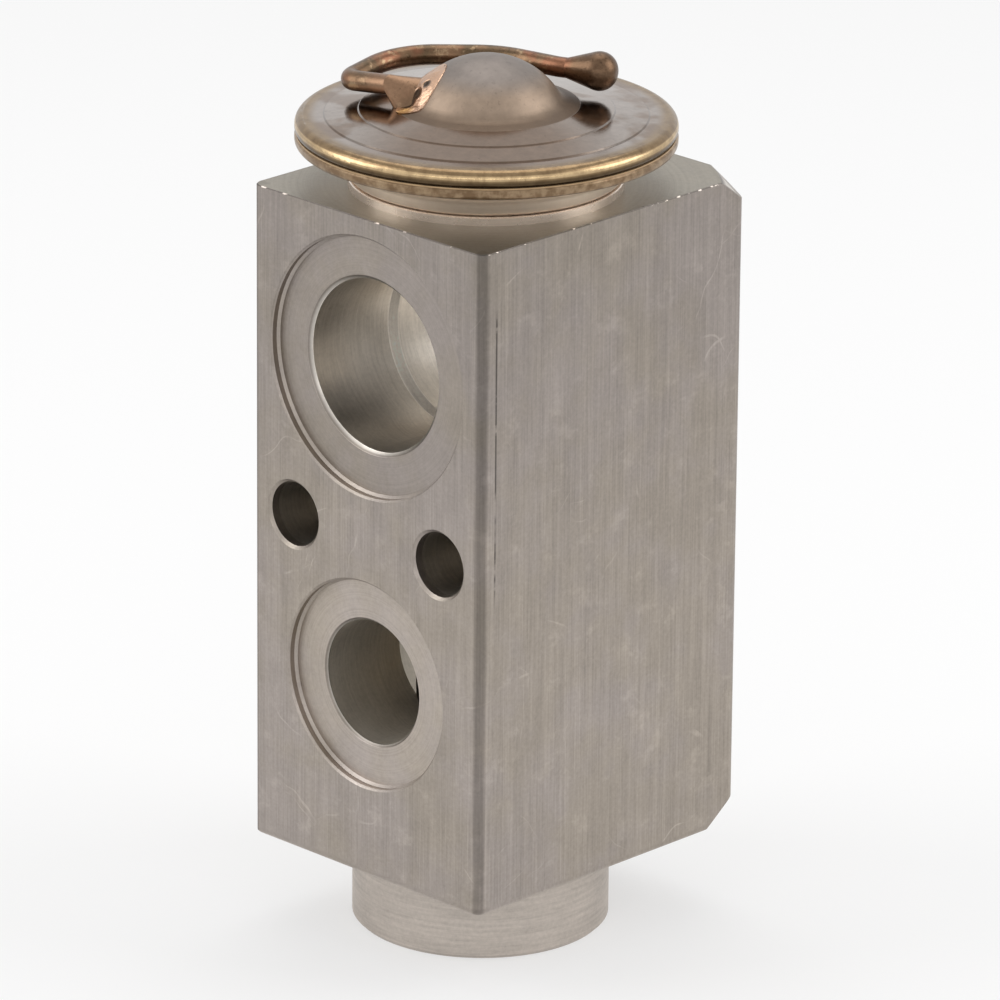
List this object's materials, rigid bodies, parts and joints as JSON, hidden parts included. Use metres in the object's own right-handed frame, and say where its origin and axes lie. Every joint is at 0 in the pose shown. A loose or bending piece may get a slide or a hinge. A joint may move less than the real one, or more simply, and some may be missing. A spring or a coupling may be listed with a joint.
{
  "type": "thermostatic expansion valve",
  "caption": "Block-type expansion valve: upright aluminium block with round ports, a boss below, and a domed steel power head on top with a formed copper charge tube.",
  "frame": {"origin": "centre of the boss's bottom face, on the valve axis", "axes": "+Z along the valve axis towards the power head, -Y out of the front face with the liquid inlet and a suction port, +X to the right seen from the front"},
  "size_m": [0.0368, 0.0384, 0.0884],
  "materials": {
    "block_aluminium": "satin",
    "head_steel": "satin",
    "socket_steel": "satin",
    "tube_copper": "satin",
    "braze_metal": "satin",
    "seal_rubber": "matte",
    "inner_brass": "satin",
    "inner_steel": "satin",
    "rod_aluminium": "satin"
  },
  "bodies": {
    "valve": {"valve_body": "block_aluminium", "head_socket": "socket_steel", "head_lower_cover": "head_steel", "head_upper_cover": "head_steel", "head_diaphragm": "inner_steel", "rim_weld": "socket_steel", "head_seal": "seal_rubber", "charge_tube": "tube_copper", "tube_braze": "braze_metal", "orifice_seat": "inner_brass", "rod_seal": "seal_rubber", "seal_retainer": "inner_steel"},
    "lift_train": {"thrust_disc": "inner_steel", "sensing_rod": "rod_aluminium", "push_rod": "inner_steel", "valve_ball": "inner_steel", "ball_carrier": "inner_brass", "damper_spring": "inner_steel"},
    "spring_pack": {"spring_seat": "inner_brass", "superheat_spring": "inner_steel"},
    "adjuster": {"adjusting_screw": "inner_brass", "screw_seal": "seal_rubber"}
  },
  "joints": [
    {"name": "valve_lift", "type": "slide", "parent": "valve", "child": "lift_train", "axis": [0, 0, -1], "range_m": [0, 0.0008], "stiffness_N_per_m": 2000, "springref_m": -0.004, "deforming": ["superheat_spring"]},
    {"name": "adjuster_travel", "type": "slide", "parent": "valve", "child": "spring_pack", "axis": [0, 0, 1], "range_m": [-0.001, 0.001], "deforming": ["superheat_spring"]},
    {"name": "adjuster_turn", "type": "hinge", "parent": "spring_pack", "child": "adjuster", "pos_m": [0, 0, 0], "axis": [0, 0, 1], "range_deg": [-360, 360]}
  ],
  "couplings": [
    {"joint": "adjuster_turn", "follows": "adjuster_travel", "rad_per_m": 6283}
  ]
}
